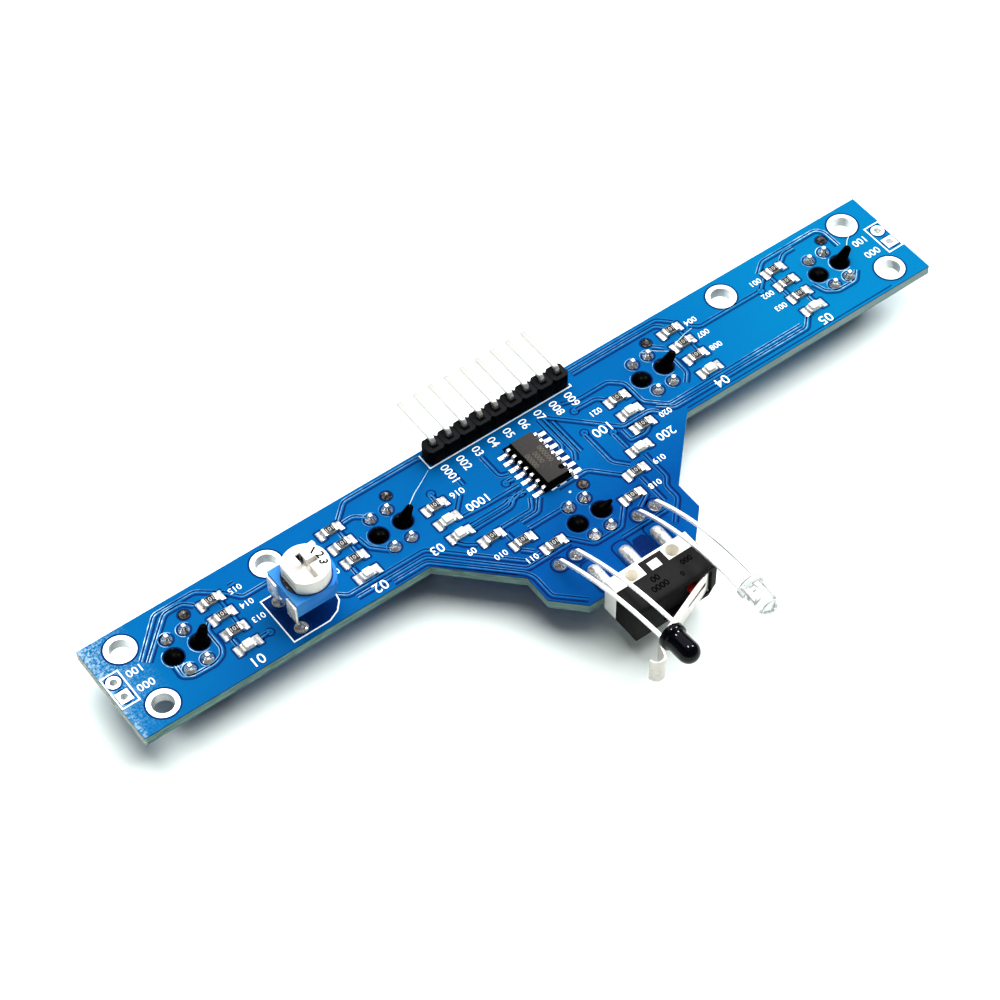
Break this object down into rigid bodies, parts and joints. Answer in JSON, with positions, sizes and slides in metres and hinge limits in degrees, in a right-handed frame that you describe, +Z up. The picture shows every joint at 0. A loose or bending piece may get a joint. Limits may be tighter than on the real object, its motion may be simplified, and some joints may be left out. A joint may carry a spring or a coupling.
{
  "type": "line follower sensor robot",
  "caption": "Blue line follower board: downward reflective sensors along a long arm, a lever bump switch and an infrared proximity pair on its nose, a trimmer and a right-angle pin header.",
  "frame": {"origin": "centre of the rectangle of the end mounting holes, on the component face of the board", "axes": "+X along the arm, +Y towards the header edge and away from the nose, +Z up out of the component face, so the sensors look along -Z"},
  "size_m": [0.128, 0.0572, 0.0154],
  "materials": {
    "board": "satin solder mask",
    "plating": "bright tin",
    "solder": "bright",
    "lead_metal": "bright tin",
    "pin_metal": "bright",
    "lever_steel": "satin",
    "brass": "satin",
    "black_plastic": "satin",
    "chip_resin": "matte",
    "resistor_glaze": "gloss",
    "led_body": "gloss",
    "trimmer_blue": "satin",
    "track": "matte",
    "dial_white": "satin",
    "plunger_red": "satin",
    "clear_lens": "clear",
    "blue_lens": "tinted",
    "black_lens": "gloss"
  },
  "bodies": {
    "board": {"circuit_board": "board", "hole_plating": "plating", "end_pads": "plating", "solder_joints": "solder", "sensor_1_housing": "black_plastic", "sensor_1_emitter": "blue_lens", "sensor_1_detector": "black_lens", "sensor_1_leads": "lead_metal", "sensor_2_housing": "black_plastic", "sensor_2_emitter": "blue_lens", "sensor_2_detector": "black_lens", "sensor_2_leads": "lead_metal", "sensor_3_housing": "black_plastic", "sensor_3_emitter": "blue_lens", "sensor_3_detector": "black_lens", "sensor_3_leads": "lead_metal", "sensor_4_housing": "black_plastic", "sensor_4_emitter": "blue_lens", "sensor_4_detector": "black_lens", "sensor_4_leads": "lead_metal", "sensor_5_housing": "black_plastic", "sensor_5_emitter": "blue_lens", "sensor_5_detector": "black_lens", "sensor_5_leads": "lead_metal", "header_body": "black_plastic", "header_pins": "pin_metal", "ic_body": "chip_resin", "ic_leads": "lead_metal", "resistor_bodies": "resistor_glaze", "resistor_caps": "solder", "status_led_1": "led_body", "status_led_2": "led_body", "status_led_3": "led_body", "status_led_4": "led_body", "status_led_5": "led_body", "status_led_6": "led_body", "status_led_7": "led_body", "status_led_8": "led_body", "trimmer_body": "trimmer_blue", "trimmer_legs": "lead_metal", "trimmer_track": "track", "switch_base": "dial_white", "switch_cover": "black_plastic", "switch_common_terminal": "lead_metal", "switch_open_terminal": "lead_metal", "switch_closed_terminal": "lead_metal", "switch_blade": "brass", "ir_transmitter": "clear_lens", "ir_transmitter_leads": "lead_metal", "ir_receiver": "black_lens", "ir_receiver_leads": "lead_metal"},
    "dial": {"trimmer_dial": "dial_white", "trimmer_wiper": "brass"},
    "plunger": {"switch_plunger": "plunger_red"},
    "lever": {"switch_lever": "lever_steel"}
  },
  "joints": [
    {"name": "dial_turn", "type": "hinge", "parent": "board", "child": "dial", "pos_m": [-0.03645, -0.0033, 0.006], "axis": [0, 0, 1], "range_deg": [-160, 75]},
    {"name": "lever_press", "type": "hinge", "parent": "board", "child": "lever", "pos_m": [0.00545, -0.03095, 0.0004], "axis": [0, 0, -1], "range_deg": [0, 14], "stiffness_Nm_per_rad": 0.008, "springref_deg": -34.38},
    {"name": "plunger_slide", "type": "slide", "parent": "board", "child": "plunger", "axis": [0, 1, 0], "range_m": [0, 0.000486]}
  ],
  "couplings": [
    {"joint": "lever_press", "follows": "plunger_slide", "rad_per_m": 502.5}
  ]
}
